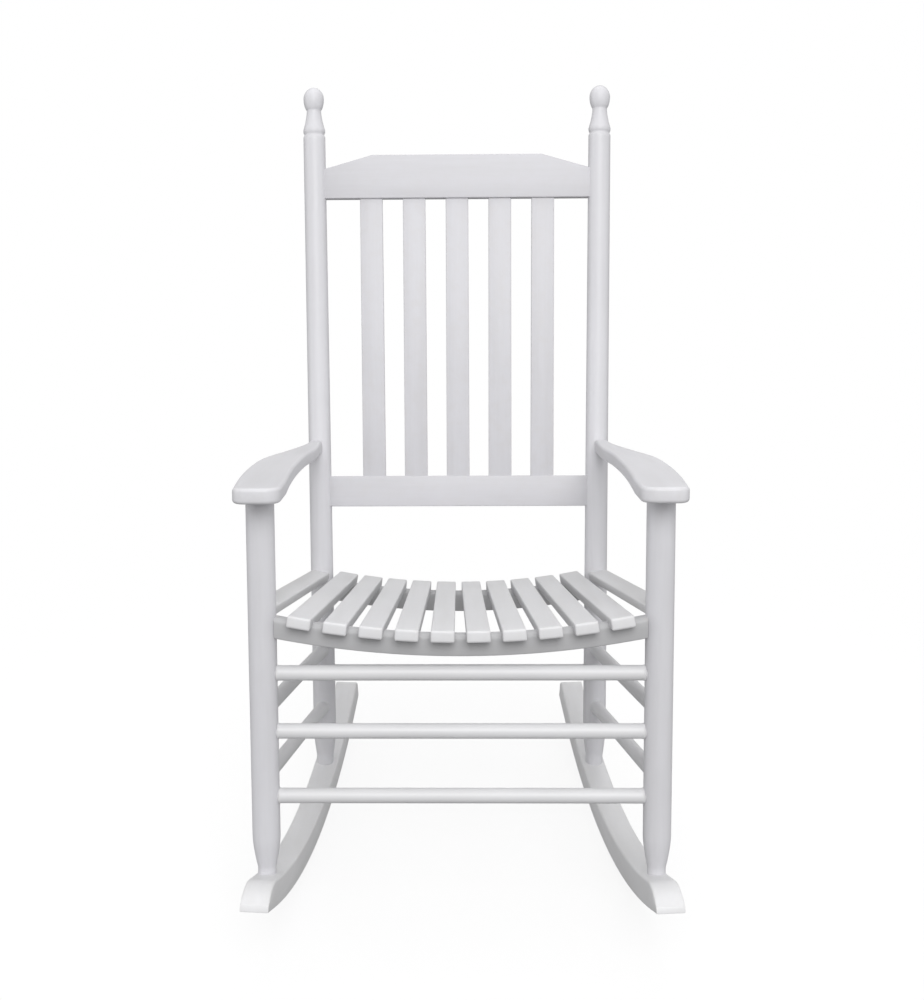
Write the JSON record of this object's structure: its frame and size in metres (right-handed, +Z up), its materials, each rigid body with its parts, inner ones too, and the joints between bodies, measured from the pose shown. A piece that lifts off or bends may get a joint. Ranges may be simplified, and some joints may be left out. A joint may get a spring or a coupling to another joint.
{
  "type": "rocking chair",
  "caption": "Slatted wooden porch rocking chair with turned legs, ball finials, flat paddle arms, a dished slat seat and a slatted back on two curved rockers.",
  "frame": {"origin": "on the floor, under the middle of the chair's plan as it stands by itself", "axes": "+Z up, the sitter faces -Y, +X towards the chair's side that the nodes call right; X = 0 is its middle plane"},
  "size_m": [0.604, 0.8937, 1.1215],
  "materials": {
    "frame_paint": "satin white paint over turned hardwood legs, posts and stretchers",
    "rocker_paint": "satin white paint over sawn and sanded hardwood rockers, worn along the rolling edge",
    "seat_paint": "satin white paint over planed hardwood slats and rails",
    "back_paint": "satin white paint over planed hardwood rails and slats",
    "arm_paint": "satin white paint over sawn hardwood arms with eased edges",
    "screw_steel": "zinc plated steel"
  },
  "bodies": {
    "root": {"left_rocker": "rocker_paint", "right_rocker": "rocker_paint", "left_front_leg": "frame_paint", "right_front_leg": "frame_paint", "left_back_post": "frame_paint", "right_back_post": "frame_paint", "crest_rail": "back_paint", "lower_back_rail": "back_paint", "back_slat_1": "back_paint", "back_slat_2": "back_paint", "back_slat_3": "back_paint", "back_slat_4": "back_paint", "back_slat_5": "back_paint", "left_arm": "arm_paint", "right_arm": "arm_paint", "front_stretcher_top": "frame_paint", "front_stretcher_middle": "frame_paint", "front_stretcher_bottom": "frame_paint", "left_side_stretcher_upper": "frame_paint", "left_side_stretcher_lower": "frame_paint", "right_side_stretcher_upper": "frame_paint", "right_side_stretcher_lower": "frame_paint", "rear_stretcher": "frame_paint", "seat_front_rail": "seat_paint", "seat_rear_rail": "seat_paint", "left_seat_rail": "seat_paint", "right_seat_rail": "seat_paint", "seat_slat_01": "seat_paint", "seat_slat_02": "seat_paint", "seat_slat_03": "seat_paint", "seat_slat_04": "seat_paint", "seat_slat_05": "seat_paint", "seat_slat_06": "seat_paint", "seat_slat_07": "seat_paint", "seat_slat_08": "seat_paint", "seat_slat_09": "seat_paint", "seat_slat_10": "seat_paint", "seat_screws_front": "screw_steel", "seat_screws_rear": "screw_steel", "rocker_screws": "screw_steel", "arm_screws": "screw_steel", "back_rail_pins": "screw_steel"}
  },
  "joints": []
}
